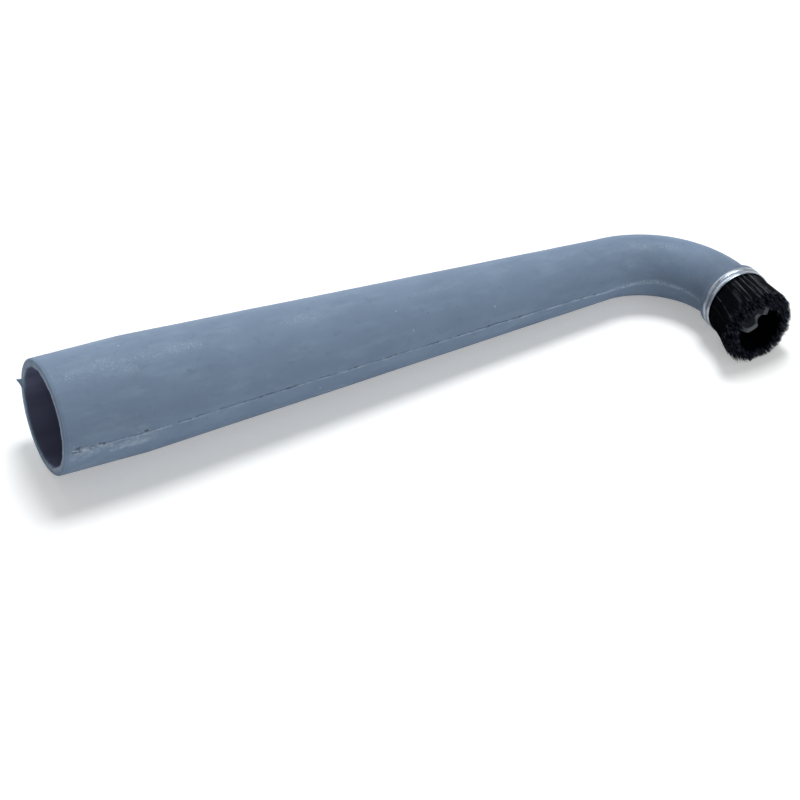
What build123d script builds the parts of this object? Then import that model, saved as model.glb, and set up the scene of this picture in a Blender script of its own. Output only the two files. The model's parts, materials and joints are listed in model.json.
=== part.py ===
from build123d import *
import math
import os

# Angled rubber suction nozzle with a ring of bristles, in millimetres and degrees.
# The socket's mouth looks along -X, the brush along -Y, and the nozzle lies on the plane z = 0.

# Socket cuff, pushed over the end of a suction tube
SOCKET_BORE = 50.0
SOCKET_WALL = 4.0
CUFF_LENGTH = 46.0
RIM_BEVEL = 0.8

# Barrel, a straight taper from the cuff to the neck
BARREL_LENGTH = 260.0
NECK_BORE = 24.4
NECK_WALL = 3.5

# Elbow, measured on its centre line
BEND_RADIUS = 48.0
BEND_ANGLE = 88.0

# Parting line of the mould, a thin fin of rubber in the plane of the bend
FIN_HEIGHT = 0.4
FIN_THICKNESS = 0.7

# Collar that the brush ring sits against
COLLAR_WIDTH = 3.6
COLLAR_STEP = 2.3
COLLAR_BEVEL = 0.8

# Spigot that carries the brush ring and ends in a scalloped lip among the bristles
LIP_REACH = 8.3
LIP_BORE = 21.4
SCALLOP_COUNT = 6
SCALLOP_DEPTH = 3.6
SCALLOP_WIDTH = 8.6
SCALLOP_TURN = 20.0

# Brush channel, steel strip folded to a U and bent to a ring
CHANNEL_DIAMETER = 36.4
CHANNEL_WIDTH = 5.3
CHANNEL_DEPTH = 4.8
CHANNEL_SHEET = 0.6
CHANNEL_BEVEL = 0.4
CHANNEL_BUTT = 0.5
BUTT_TURN = 135.0
CRIMP_COUNT = 96
CRIMP_LENGTH = 1.8
CRIMP_DEPTH = 0.28

# Core wire that the filaments are folded over, with a few flat sides in place of a full round
WIRE_DIAMETER = 1.6
WIRE_SIDE_COUNT = 6
FOLD_THICKNESS = 0.6

# Bristles, two rows of tufts that part towards their tips
BRISTLE_LENGTH = 21.5
BRISTLE_FLARE = 1.9
BRISTLE_CORE_FLARE = 0.9
TUFT_ROOT = 2.0
TUFT_COUNT = 54
TUFT_GAP = 0.15
TUFT_TAPER = 0.9
TIP_RAGGED = 1.6
RAGGED_STEP = 137.5

# Fits between the pieces
SEAT_CLEARANCE = 0.05

# Sizes that follow from those above
SOCKET_RADIUS = SOCKET_BORE / 2
CUFF_RADIUS = SOCKET_RADIUS + SOCKET_WALL
NECK_BORE_RADIUS = NECK_BORE / 2
NECK_RADIUS = NECK_BORE_RADIUS + NECK_WALL
COLLAR_RADIUS = NECK_RADIUS + COLLAR_STEP
LIP_BORE_RADIUS = LIP_BORE / 2
CHANNEL_RADIUS = CHANNEL_DIAMETER / 2
CHANNEL_HOLE_RADIUS = CHANNEL_RADIUS - CHANNEL_DEPTH
SPIGOT_RADIUS = CHANNEL_HOLE_RADIUS - SEAT_CLEARANCE
LIP_END = COLLAR_WIDTH + CHANNEL_WIDTH + LIP_REACH
ELBOW_START = CUFF_LENGTH + BARREL_LENGTH
BRISTLE_OUTSIDE = CHANNEL_RADIUS - CHANNEL_SHEET - SEAT_CLEARANCE
BRISTLE_INSIDE = CHANNEL_HOLE_RADIUS + CHANNEL_SHEET + SEAT_CLEARANCE
BRISTLE_MIDDLE = (BRISTLE_OUTSIDE + BRISTLE_INSIDE) / 2
BRISTLE_BACK = CHANNEL_SHEET + SEAT_CLEARANCE
BRISTLE_TIP = CHANNEL_WIDTH + BRISTLE_LENGTH
WIRE_HEIGHT = BRISTLE_BACK + FOLD_THICKNESS + WIRE_DIAMETER / 2
TIP_RADIUS = BRISTLE_OUTSIDE - TUFT_GAP + BRISTLE_FLARE
OVERSHOOT = 2.0

# Search for the resting angles
STEEPEST = 30.0
HALVINGS = 40
ELBOW_STEPS = 60

# Frame of the elbow's end: x towards the inside of the bend, z the way the brush points
bend = math.radians(BEND_ANGLE)
brush_direction = Vector(math.cos(bend), -math.sin(bend), 0)
inner_direction = Vector(-math.sin(bend), -math.cos(bend), 0)
elbow_end = Vector(
    ELBOW_START + BEND_RADIUS * math.sin(bend),
    -BEND_RADIUS * (1 - math.cos(bend)),
    0,
)
COLLAR_FRAME = Plane(origin=elbow_end, x_dir=inner_direction, z_dir=brush_direction)
RING_FRAME = COLLAR_FRAME.offset(COLLAR_WIDTH)
NECK_FRAME = Plane(origin=(ELBOW_START, 0, 0), x_dir=(0, 1, 0), z_dir=(1, 0, 0))
BEND_AXIS = Axis((ELBOW_START, -BEND_RADIUS, 0), (0, 0, -1))


def turned(points, axis):
    """A solid turned about an axis from the half outline through the points, given in the XZ plane."""
    return revolve(make_face(Plane.XZ * Polyline(*points, close=True)), axis)


def elbow(radius):
    """A round bar of the radius along the elbow's centre line."""
    return revolve(NECK_FRAME * Circle(radius), BEND_AXIS, BEND_ANGLE)


def tube_outside():
    """Cuff, barrel, elbow, collar and spigot as one full body."""
    straight = turned(
        [(0, 0), (0, CUFF_RADIUS), (CUFF_LENGTH, CUFF_RADIUS), (ELBOW_START, NECK_RADIUS), (ELBOW_START, 0)],
        Axis.X,
    )
    rim = straight.edges().group_by(Axis.X)[0]
    straight = chamfer(rim, RIM_BEVEL)
    collar = Cylinder(COLLAR_RADIUS, COLLAR_WIDTH, align=(Align.CENTER, Align.CENTER, Align.MIN))
    collar = chamfer(collar.edges().group_by(Axis.Z)[0], COLLAR_BEVEL)
    spigot = Cylinder(SPIGOT_RADIUS, LIP_END, align=(Align.CENTER, Align.CENTER, Align.MIN))
    return straight + elbow(NECK_RADIUS) + COLLAR_FRAME * (collar + spigot)


def tube_inside():
    """The suction passage, from the straight socket through the taper and the elbow to the lip."""
    straight = turned(
        [
            (-OVERSHOOT, 0),
            (-OVERSHOOT, SOCKET_RADIUS),
            (CUFF_LENGTH, SOCKET_RADIUS),
            (ELBOW_START, NECK_BORE_RADIUS),
            (ELBOW_START, 0),
        ],
        Axis.X,
    )
    taper = turned(
        [(0, 0), (NECK_BORE_RADIUS, 0), (LIP_BORE_RADIUS, LIP_END), (LIP_BORE_RADIUS, LIP_END + OVERSHOOT),
         (0, LIP_END + OVERSHOOT)],
        Axis.Z,
    )
    return straight + elbow(NECK_BORE_RADIUS) + COLLAR_FRAME * taper


def parting_fin():
    """The thin fin that the mould's two halves leave along the cuff, the barrel and the elbow."""
    cuff_edge = CUFF_RADIUS + FIN_HEIGHT
    neck_edge = NECK_RADIUS + FIN_HEIGHT
    straight = Polygon(
        (RIM_BEVEL, -cuff_edge),
        (CUFF_LENGTH, -cuff_edge),
        (ELBOW_START, -neck_edge),
        (ELBOW_START, neck_edge),
        (CUFF_LENGTH, cuff_edge),
        (RIM_BEVEL, cuff_edge),
        align=None,
    )
    strip = NECK_FRAME * Rectangle(2 * neck_edge, FIN_THICKNESS)
    return extrude(straight, FIN_THICKNESS / 2, both=True) + revolve(strip, BEND_AXIS, BEND_ANGLE)


def lip_scallops():
    """Round notches cut into the lip's end all the way round."""
    reach = SPIGOT_RADIUS + OVERSHOOT
    radius = (SCALLOP_WIDTH**2 / 4 + SCALLOP_DEPTH**2) / (2 * SCALLOP_DEPTH)
    centre = LIP_END - SCALLOP_DEPTH + radius
    notch = Pos(reach / 2, 0, centre) * Rot(0, 90, 0) * Cylinder(radius, reach)
    step = 360 / SCALLOP_COUNT
    turns = [SCALLOP_TURN + step * index for index in range(SCALLOP_COUNT)]
    return [COLLAR_FRAME * Rot(0, 0, turn) * notch for turn in turns]


def rubber_tube():
    """The one moulding of the nozzle."""
    return tube_outside() + parting_fin() - tube_inside() - lip_scallops()


def brush_channel():
    """The U-section ring, open towards the bristles, with crimps round its outside and a butt joint."""
    middle = CHANNEL_RADIUS - CHANNEL_DEPTH / 2
    section = Pos(middle, CHANNEL_WIDTH / 2) * Rectangle(CHANNEL_DEPTH, CHANNEL_WIDTH)
    section = chamfer(section.vertices().group_by(Axis.Y)[0], CHANNEL_BEVEL)
    groove = Pos(middle, CHANNEL_SHEET + CHANNEL_WIDTH / 2) * Rectangle(
        CHANNEL_DEPTH - 2 * CHANNEL_SHEET, CHANNEL_WIDTH
    )
    ring = revolve(Plane.XZ * (section - groove), Axis.Z)
    cutter = CRIMP_DEPTH * math.sqrt(2)
    crimp = Pos(CHANNEL_RADIUS, 0, CHANNEL_WIDTH / 2) * Rot(0, 0, 45) * Box(cutter, cutter, CRIMP_LENGTH)
    crimps = [Rot(0, 0, 360 / CRIMP_COUNT * index) * crimp for index in range(CRIMP_COUNT)]
    butt = Rot(0, 0, BUTT_TURN) * Pos(middle, 0, CHANNEL_WIDTH / 2) * Box(
        CHANNEL_DEPTH + OVERSHOOT, CHANNEL_BUTT, CHANNEL_WIDTH + OVERSHOOT
    )
    return RING_FRAME * (ring - crimps - butt)


def core_wire():
    """The wire ring that lies in the fold of the filaments."""
    section = Pos(BRISTLE_MIDDLE, WIRE_HEIGHT) * RegularPolygon(WIRE_DIAMETER / 2, WIRE_SIDE_COUNT)
    return RING_FRAME * revolve(Plane.XZ * section, Axis.Z)


def wire_room():
    """The square groove that the folded filaments leave for the wire."""
    side = WIRE_DIAMETER + 2 * SEAT_CLEARANCE
    section = Pos(BRISTLE_MIDDLE, WIRE_HEIGHT) * Rectangle(side, side)
    return RING_FRAME * revolve(Plane.XZ * section, Axis.Z)


def tuft(inside, outside, flare, length):
    """One flat-sided bundle of filaments that leans out and narrows towards its tip."""
    start = CHANNEL_WIDTH + TUFT_ROOT
    tip = start + length
    tip_middle = (inside + outside) / 2 + flare
    tip_half = TUFT_TAPER * (outside - inside) / 2
    width = 2 * math.pi * inside / TUFT_COUNT - TUFT_GAP
    side = Plane.XZ * Polygon(
        (inside, start),
        (outside, start),
        (tip_middle + tip_half, tip),
        (tip_middle - tip_half, tip),
        align=None,
    )
    return extrude(side, width / 2, both=True)


def bristles():
    """Filaments bound at their roots in the channel, parted into tufts of uneven length."""
    root_height = CHANNEL_WIDTH + TUFT_ROOT
    band = turned(
        [
            (BRISTLE_INSIDE, BRISTLE_BACK),
            (BRISTLE_OUTSIDE, BRISTLE_BACK),
            (BRISTLE_OUTSIDE, root_height),
            (BRISTLE_INSIDE, root_height),
        ],
        Axis.Z,
    )
    row_gap_inside = BRISTLE_MIDDLE - TUFT_GAP / 2
    row_gap_outside = BRISTLE_MIDDLE + TUFT_GAP / 2
    tufts = []
    step = 360 / TUFT_COUNT
    for index in range(TUFT_COUNT):
        uneven = TIP_RAGGED * (1 + math.sin(math.radians(RAGGED_STEP * index))) / 2
        length = BRISTLE_LENGTH - TUFT_ROOT - uneven
        outer = tuft(row_gap_outside, BRISTLE_OUTSIDE - TUFT_GAP, BRISTLE_FLARE, length)
        inner = tuft(BRISTLE_INSIDE + TUFT_GAP, row_gap_inside, BRISTLE_CORE_FLARE, length - TIP_RAGGED / 2)
        tufts.append(Rot(0, 0, step * index) * outer)
        tufts.append(Rot(0, 0, step * (index + 0.5)) * inner)
    return RING_FRAME * (band + tufts) - wire_room()


def lowest(sections, slope, roll):
    """Lowest point of round sections, each a centre, an axis and a radius in the plane of the bend."""
    drop = math.sin(math.radians(slope))
    lift = math.sin(math.radians(roll)) * math.cos(math.radians(slope))
    bottoms = []
    for centre, axis, radius in sections:
        height = -centre.X * drop - centre.Y * lift
        steepness = -axis.X * drop - axis.Y * lift
        bottoms.append(height - radius * math.sqrt(1 - steepness**2))
    return min(bottoms)


def halved(low, high, goes_higher):
    """The value between two limits at which a test changes its answer."""
    for _ in range(HALVINGS):
        middle = (low + high) / 2
        if goes_higher(middle):
            low = middle
        else:
            high = middle
    return (low + high) / 2


def rest_angles():
    """Slope of the barrel and roll of the bend with cuff, elbow and brush end all on the floor."""
    axis = Vector(1, 0, 0)
    cuff = [(Vector(CUFF_LENGTH, 0, 0), axis, CUFF_RADIUS)]
    neck = [(Vector(ELBOW_START, 0, 0), axis, NECK_RADIUS)]
    for step in range(1, ELBOW_STEPS + 1):
        turn = bend * step / ELBOW_STEPS
        centre = Vector(
            ELBOW_START + BEND_RADIUS * math.sin(turn),
            -BEND_RADIUS * (1 - math.cos(turn)),
            0,
        )
        neck.append((centre, Vector(math.cos(turn), -math.sin(turn), 0), NECK_RADIUS))
    brush = [
        (elbow_end + brush_direction * COLLAR_BEVEL, brush_direction, COLLAR_RADIUS),
        (elbow_end + brush_direction * (COLLAR_WIDTH + CHANNEL_BEVEL), brush_direction, CHANNEL_RADIUS),
        (elbow_end + brush_direction * (COLLAR_WIDTH + BRISTLE_TIP), brush_direction, TIP_RADIUS),
    ]

    def slope_at(roll):
        return halved(0, STEEPEST, lambda slope: lowest(neck, slope, roll) > lowest(cuff, slope, roll))

    def brush_sinks(roll):
        slope = slope_at(roll)
        return lowest(brush, slope, roll) < lowest(cuff, slope, roll)

    roll = halved(-STEEPEST, STEEPEST, brush_sinks)
    slope = slope_at(roll)
    return slope, roll, lowest(cuff, slope, roll)


def laid_down(pieces):
    """The pieces as the nozzle comes to rest, with the middle of their box over the origin."""
    slope, roll, floor = rest_angles()
    pose = Pos(0, 0, -floor) * Rot(0, slope, 0) * Rot(-roll, 0, 0)
    lying = {name: pose * piece for name, piece in pieces.items()}
    box = Compound([solid for piece in lying.values() for solid in piece.solids()]).bounding_box()
    shift = Pos(-box.center().X, -box.center().Y, 0)
    return {name: shift * piece for name, piece in lying.items()}, shift * pose


nozzle, rest_place = laid_down(
    {
        "rubber_tube": rubber_tube(),
        "brush_channel": brush_channel(),
        "core_wire": core_wire(),
        "bristles": bristles(),
    }
)

os.makedirs("parts", exist_ok=True)
for name, piece in nozzle.items():
    export_step(piece, f"parts/{name}.step")

# Where the socket's mouth, its axis, the elbow and the brush ring end up once the nozzle lies down
mouth = rest_place * Pos(0, 0, 0)
print("mouth", mouth.position, "turn", mouth.orientation)
print("elbow start", (rest_place * Pos(ELBOW_START, 0, 0)).position)
print("ring", (rest_place * RING_FRAME.location).position)
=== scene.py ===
import json
import math
from types import SimpleNamespace

import bpy
import numpy as np
from mathutils import Matrix, Vector


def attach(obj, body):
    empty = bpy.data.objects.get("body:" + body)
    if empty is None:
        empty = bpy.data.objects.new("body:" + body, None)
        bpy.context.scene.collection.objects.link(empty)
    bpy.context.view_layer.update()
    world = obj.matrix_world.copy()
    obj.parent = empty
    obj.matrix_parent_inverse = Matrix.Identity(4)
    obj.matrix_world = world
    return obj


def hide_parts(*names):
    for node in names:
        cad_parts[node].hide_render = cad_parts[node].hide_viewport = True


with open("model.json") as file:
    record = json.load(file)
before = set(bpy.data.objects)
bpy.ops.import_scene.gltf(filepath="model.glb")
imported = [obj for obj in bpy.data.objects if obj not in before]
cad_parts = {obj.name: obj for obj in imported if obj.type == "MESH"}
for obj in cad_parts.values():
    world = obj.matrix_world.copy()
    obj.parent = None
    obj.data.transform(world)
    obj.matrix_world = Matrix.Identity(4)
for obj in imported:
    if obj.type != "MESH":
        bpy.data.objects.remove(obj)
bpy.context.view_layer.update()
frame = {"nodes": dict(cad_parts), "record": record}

# Angled rubber suction nozzle with a ring of bristles.
# Pieces are modelled in millimetres in the moulding's own frame: the socket's mouth at the origin, the
# barrel along +X, the bend towards -Y, the parting plane at z = 0. Each finished piece is then laid down
# in metres.
MM = 0.001
SEED = 41
MERGE_DISTANCE = 0.02
TOLERANCE = 0.01
FINE_TOLERANCE = 0.001
EDGE_MARGIN = 0.1
KNOT_COUNT = 4096
KNOT_START = 1024

# Rubber moulding, with the sizes and the roll that the part's source gives
CUFF_LENGTH = 46.0
CUFF_RADIUS = 29.0
SOCKET_RADIUS = 25.0
ELBOW_START = 306.0
NECK_RADIUS = 15.7
NECK_BORE_RADIUS = 12.2
BEND_RADIUS = 48.0
BEND_ANGLE = math.radians(88)
ELBOW_END_RUN = ELBOW_START + BEND_RADIUS * BEND_ANGLE
COLLAR_RADIUS = 18.0
COLLAR_WIDTH = 3.6
COLLAR_BEVEL = 0.8
SPIGOT_RADIUS = 13.35
LIP_END = 17.2
LIP_BORE_RADIUS = 10.7
SCALLOP_COUNT = 6
SCALLOP_DEPTH = 3.6
SCALLOP_TURN = math.radians(20)
BEND_ROLL = math.radians(4.807)

# Finer shape of the moulding: its rounded rim, and how wide the lip's notches are
RIM_ROUND = 0.9
MOUTH_CHAMFER = RIM_ROUND / 2
SCALLOP_SHARE = 0.62

# Fineness of the moulding's skin
RING_POINTS = 144
SEAM_CROWDING = 0.8
RIM_STEPS = 4
CUFF_STEPS = 100
BARREL_STEPS = 260
ELBOW_STEPS = 60
BORE_STEPS = 40
SKIN_SMOOTH_ANGLE = math.radians(35)

# Parting line near the plane of the bend: a fine groove, and the rubber just below it standing proud
GROOVE_DEPTH = 0.22
GROOVE_HALF = 0.22
GROOVE_FADE_IN = 6
GROOVE_LOST_IN_BEND = 0.8
STEP_HEIGHT = 0.34
STEP_START = 0.05
STEP_FULL = 0.4
STEP_FADE = 2.6
SEAM_RUN = 380.0
SEAM_REACH = 12
SEAM_WANDER = 0.22
NEAR_WANDER_PITCH = 9
FAR_WANDER_PITCH = 11
SEAM_BEND_START = 292
SEAM_BEND_FULL = 316

# The seam's course: run from the mouth, and degrees above the plane of the bend on the bend's inner side
SEAM_COURSE = (
    (0, -3),
    (60, -2),
    (270, -2),
    (298, -5.5),
    (311, -5),
    (326, 0.5),
    (336, 3.5),
    (352, 1.5),
    (379, 0),
)

# Levels that swing softly along the seam: level, swing and pitch
SEAM_STRENGTH = (0.7, 0.3, 7)
STEP_HIGHLIGHT_LEVEL = (0.8, 0.6, 6)
BEND_STEP_HIGHLIGHT_LEVEL = (0.8, 0.2, 5)
GROOVE_SHADE_LEVEL = (0.55, 0.45, 8)

# Torn flash near the mouth, as crumbs, with the middle, half length and wildness of each tear, and small
# nubs along the rest of the seam
CRUMB_COUNT = 150
CRUMB_CROWDING = 1.8
CRUMB_SPREAD = 0.9
CRUMB_LOWEST = -1.0
CRUMB_HEIGHT = 0.5
CRUMB_START = 4.5
CRUMB_RUN = 46.0
TEARS = ((8, 5, 1.5), (18.5, 3, 1.0), (41, 3, 1.0))
CALM_WILDNESS = 0.15
NUB_COUNT = 60
NUB_CROWDING = 1.0
NUB_SPREAD = 0.2
NUB_LOWEST = -0.5
NEAR_NUBS = 0.5
FAR_NUBS = 0.4
BUMP_LEVEL = -0.25
BUMP_HALF_LENGTHS = (0.3, 1.2)
BUMP_HALF_WIDTHS = (0.25, 0.5)

# Flash trimmed flat below the seam near the mouth
TRIM_START = 0.8
TRIM_FADE_IN = 3
TRIM_END = 54.0
TRIM_FADE_OUT = 14
TRIM_TOP_START = 0.3
TRIM_TOP_FULL = 0.9
TRIM_WIDTH = 7.5
TRIM_RAGGED = 0.9
TRIM_PITCH = 4
TRIM_EDGE_FADE = 1.2
TRIM_EDGE_INSET = 1.4
TRIM_EDGE_HALF = 1.1
TRIM_DEPTH = 0.12
TRIM_PALE = 0.7
TRIM_EDGE_PALE = 0.3

# Painted highlight along the step's edge below the seam, and painted shade in the seam's groove
STEP_HIGHLIGHT_BELOW = 0.65
STEP_HIGHLIGHT_HALF = 0.5
STEP_HIGHLIGHT_LEAST = 0.75
STEP_HIGHLIGHT_GROWS = 200
STEP_HIGHLIGHT_FULL = 280
BEND_STEP_HIGHLIGHT_BELOW = 0.3
BEND_STEP_HIGHLIGHT_HALF = 1.1
GROOVE_SHADE_HALF = 0.32
GROOVE_SHADE_LEAST = 0.25
GROOVE_SHADE_GROWS = 38
GROOVE_SHADE_FULL = 60

# The mouth's edges: a fine line round the outside with painted shade in it, the rough cut inside, and where
# the painted shade in the bore starts
RIM_LINE = 1.5
RIM_LINE_HALF = 0.35
RIM_LINE_DEPTH = 0.07
# Painted shade in the fine line round the mouth
RIM_LINE_SHADE = 0.28
NICK_DEPTH = 0.5
NICK_PITCH = 1.5
FAR_CUT_SPECKS = 0.2
DARK_BORE_START = 1.6

# Thorn of torn flash on the far side of the rim
THORN_REACH = 1.9
THORN_BASE = 2.4
THORN_RISE = 1.4
THORN_SHARPNESS = 1.3
THORN_FULL = 0.2
THORN_END = 2.5

# Painted shade towards the collar, darkest where the collar meets the ring
CONTACT_WIDTH = 0.5
ELBOW_SHADE = 0.7
ELBOW_SHADE_START = 350
ELBOW_SHADE_SHARE = 0.5
ELBOW_SHADE_HALF = 0.8
COLLAR_SHADE = 0.4
CONTACT_SHADE = 0.95

# Patches of pale bloom on the upper side: run, degrees above the seam, half length, half width, strength
BLOOM_PATCHES = (
    (36, 72, 36, 4.5, 0.5),
    (29, 74, 8, 4, 0.85),
    (10, 72, 5, 2.5, 0.7),
    (41, 62, 5, 2, 0.5),
    (66, 73, 7, 3, 0.8),
    (75, 72, 5, 2.5, 0.9),
    (132, 76, 12, 3, 0.6),
    (205, 70, 16, 3, 0.35),
    (326, 72, 9, 2.5, 0.6),
    (341, 75, 6, 2, 0.9),
    (317, 37, 3, 2, 0.6),
)

# Unevenness of the moulded skin
SKIN_WAVE = 0.22
SKIN_WAVE_SIZE = 26.0
SKIN_WAVE_MIDDLE = 0.5

# Brush, with the sizes that the part's source gives
RING_BACK = COLLAR_WIDTH
CHANNEL_WIDTH = 5.3
CHANNEL_RADIUS = 18.2
CHANNEL_HOLE_RADIUS = 13.4
CHANNEL_SHEET = 0.6
CRIMP_COUNT = 96
CRIMP_LENGTH = 1.8
CRIMP_DEPTH = 0.28
BUTT_GAP = 0.5
BUTT_TURN = math.radians(135)
BRISTLE_LENGTH = 21.5

# Finer shape of the ring: the width and the steps of its crimps, and its rounded edges
CRIMP_SPREAD = 0.45
CRIMP_FINENESS = 4
RING_EDGE_ROUND = 0.18
RING_EDGE_STEPS = 2
RING_EDGE_ANGLE = math.radians(60)
RING_SMOOTH_ANGLE = math.radians(40)

# Loose filaments of the brush
FILAMENT_COUNT = 7000
FILAMENT_SIDES = 3
FILAMENT_RADIUS = 0.125
FILAMENT_TAPER = 0.75
FILAMENT_CUTS = (0.35, 0.7, 0.94)
ROOT_INSIDE = 14.2
ROOT_OUTSIDE = 17.3
ROOT_HEIGHT = 1.4
INNER_FLARE = -1.6
OUTER_FLARE = 2.7
FLARE_SPREAD = 0.4
FLARE_CURVE = 1.8
SWAY_SPREAD = 0.03
SWAY_CURVE = 1.4
CLUMP_COUNT = 170
CLUMP_PULL = 0.5
CLUMP_RAGGED = 1.3
TIP_RAGGED = 1.4
OUTER_LEAN = (1.8, 1.25)
INNER_LEAN = (-0.3, 4.2)
STRAY_COUNT = 40
STRAY_FLARE = 0.3
STRAY_SPREAD = 0.9
STRAY_SWAY = 0.16
# Filaments with a painted glint, in the outer rows on the upper side
GLINT_COUNT = 34
GLINT_DEPTH = 0.86
GLINT_SPREAD = 0.75
GLINT_THICKNESS = 0.62
# Share of filaments whose cut tips get a painted highlight
TIP_GLINT_SHARE = 0.24
FLOOR_GAP = 0.12

# Colours of the rubber
RUBBER = (0.167, 0.232, 0.331)
CLOUDED_RUBBER = (0.148, 0.205, 0.292)
PALE_RUBBER = (0.2, 0.272, 0.368)
DARK_RUBBER = (0.128, 0.175, 0.247)
HAZED_RUBBER = (0.25, 0.335, 0.43)
BLOOMED_RUBBER = (0.36, 0.47, 0.59)
PALE_SPECK = (0.38, 0.46, 0.54)
DARK_SPECK = (0.06, 0.08, 0.11)
TRIMMED_RUBBER = (0.32, 0.41, 0.5)
# Painted highlight on the step's edge below the seam
STEP_HIGHLIGHT_RUBBER = (0.34, 0.43, 0.545)
# Painted shade in the seam's groove
SEAM_GROOVE_SHADE = (0.045, 0.06, 0.09)
# Painted shade at the rim line, towards the collar, at the ring and in pits of torn flash
SHADED_RUBBER = (0.07, 0.082, 0.11)
TORN_RUBBER = (0.36, 0.44, 0.53)
CUT_SPECK = (0.5, 0.57, 0.66)
WORN_RUBBER = (0.16, 0.175, 0.2)
# Painted shade inside the bore, darker and more purple than the outside
SHADED_BORE_RUBBER = (0.146, 0.156, 0.25)

# Patterns: fineness, detail, and the noise values that count as none and as full
CLOUDS = (40, 4, 0.35, 0.75)
PALE_STREAKS = (190, 5, 0.5, 0.85)
DARK_STREAKS = (330, 6, 0.56, 0.9)
BLOOM_HAZE = (260, 3, 0.3, 1.3)
BLOOM_FLECKS = (1100, 5, 0.5, 0.75)
TRIM_SMEARS = (300, 3, 0.34, 0.62)
TRIM_GRAIN = (1300, 5, 0.3, 0.62)
STEP_HIGHLIGHT_BREAKS = (700, 4, 0.34, 0.56)
GROOVE_SHADE_BREAKS = (420, 4, 0.42, 0.62)
CUT_SPECKS = (1500, 2, 0.48, 0.6)
SHEEN_PATCHES = (120, 4, 0.2, 0.8)
SKIN_GRAIN = (900, 3, 0, 1)
ZINC_SPANGLE = (500, 3, 0.42, 0.75)

# Specks: how close they lie, and their radius in metres
PALE_SPECKS = (85, 0.0005)
DARK_SPECKS = (70, 0.00035)
SPECK_CORE = 0.5

# How patterns are drawn out along the moulding
STREAK_STRETCH = (0.3, 1, 1)
FLOW_STRETCH = (0.65, 1, 1)

# Surface of the rubber
RUBBER_GLOSS = 0.19
RUBBER_SMOOTHEST = 0.56
RUBBER_ROUGHEST = 0.7
GRAIN_STRENGTH = 0.15
GRAIN_DEPTH = 0.0003

# Zinc, wire and filaments, the filaments as colour, gloss and roughness
ZINC = (0.37, 0.41, 0.465)
DULL_ZINC = (0.22, 0.25, 0.3)
# Painted shade in the crimps
CRIMP_SHADE = (0.05, 0.055, 0.075)
ZINC_ROUGHNESS = 0.33
WIRE = (0.45, 0.45, 0.46)
WIRE_ROUGHNESS = 0.4
BLACK_FILAMENT = ((0.0011, 0.0017, 0.0042), 0.035, 0.5)
# Grey colour painted on a few filaments as glints, with a glossier surface
GLINT_FILAMENT = ((0.2, 0.215, 0.26), 0.7, 0.3)
# Pale colour painted on some cut tips as highlights
TIP_GLINT = ((0.065, 0.073, 0.118), 0.35, 0.4)

# Camera, fitted to the photograph
IMAGE_SIZE = 800
FOCAL_PIXELS = 3113.3
SENSOR_WIDTH = 36.0
NEAR_CLIP = 0.01
CAMERA_TARGET = Vector((-10.53, -5.41, 0.0)) * MM
CAMERA_DISTANCE = 1543.98 * MM
CAMERA_AZIMUTH = math.radians(-27.316)
CAMERA_ELEVATION = math.radians(42.205)
CAMERA_ROLL = math.radians(1.652)

# Lamps and sky, in metres and watts
KEY_PLACE = (0.61, 0.86, 2.5)
KEY_SIZE = 1.0
KEY_ENERGY = 55
FILL_PLACE = (0.35, -1.2, 0.22)
FILL_SIZE = 0.4
FILL_ENERGY = 3.8
BACK_PLACE = (0.1, 1.7, 0.75)
BACK_SIZE = 1.4
BACK_ENERGY = 10
BACK_COLOUR = (0.88, 1.0, 1.06)
SKY_LEVEL = 0.59
SKY_DIMS = 0.1
SKY_DIMMED = 0.9
OVERHEAD_SHARE = 0.35
LEFT_SHARE = 0.7
RIGHT_SHARE = 1.15

# Floor, in metres
FLOOR_SIZE = 8
FLOOR_DROP = 0.0002
FLOOR_COLOUR = (0.79, 0.8, 0.8)
FLOOR_GLOW = 0.315
FLOOR_SHADED = 0.45
FLOOR_WHITE = 1.2

# The resting place, from the socket's mount
socket = frame["record"]["mounts"][0]
out_of_mouth = Vector(socket["axis"])
mouth = Vector(socket["pos_m"]) + out_of_mouth * (CUFF_LENGTH / 2 * MM)
slope = math.asin(out_of_mouth.z)
LAID_DOWN = (
    Matrix.Translation(mouth)
    @ Matrix.Rotation(slope, 4, "Y")
    @ Matrix.Rotation(-BEND_ROLL, 4, "X")
    @ Matrix.Scale(MM, 4)
)

# The brush's own frame: x to the inside of the bend, y down, z the way the bristles point
bend_centre = Vector((ELBOW_START, -BEND_RADIUS, 0))
brush_way = Vector((math.cos(BEND_ANGLE), -math.sin(BEND_ANGLE), 0))
inner_way = Vector((-math.sin(BEND_ANGLE), -math.cos(BEND_ANGLE), 0))
elbow_end = bend_centre - inner_way * BEND_RADIUS
brush_axes = Matrix((inner_way, (0, 0, -1), brush_way)).transposed().to_4x4()
AT_BRUSH = Matrix.Translation(elbow_end) @ brush_axes


def smooth_step(low, high, value):
    """0 below low, 1 above high, and a soft step between."""
    share = np.clip((value - low) / (high - low), 0, 1)
    return share * share * (3 - 2 * share)


def bell(value, half):
    """1 where the value is 0, and falling softly to both sides within about the half width."""
    return np.exp(-((value / half) ** 2))


def uneven(run, pitch, seed):
    """Soft random values from -1 to 1 along a run, with one new value at each pitch."""
    knots = np.random.default_rng(seed).uniform(-1, 1, KNOT_COUNT)
    place = np.asarray(run) / pitch + KNOT_START
    index = np.floor(place).astype(int)
    share = place - index
    share = share * share * (3 - 2 * share)
    return knots[index] * (1 - share) + knots[index + 1] * share


def swinging(run, level, swing, pitch, seed):
    """A level that swings softly along a run."""
    return level + swing * uneven(run, pitch, seed)


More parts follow.
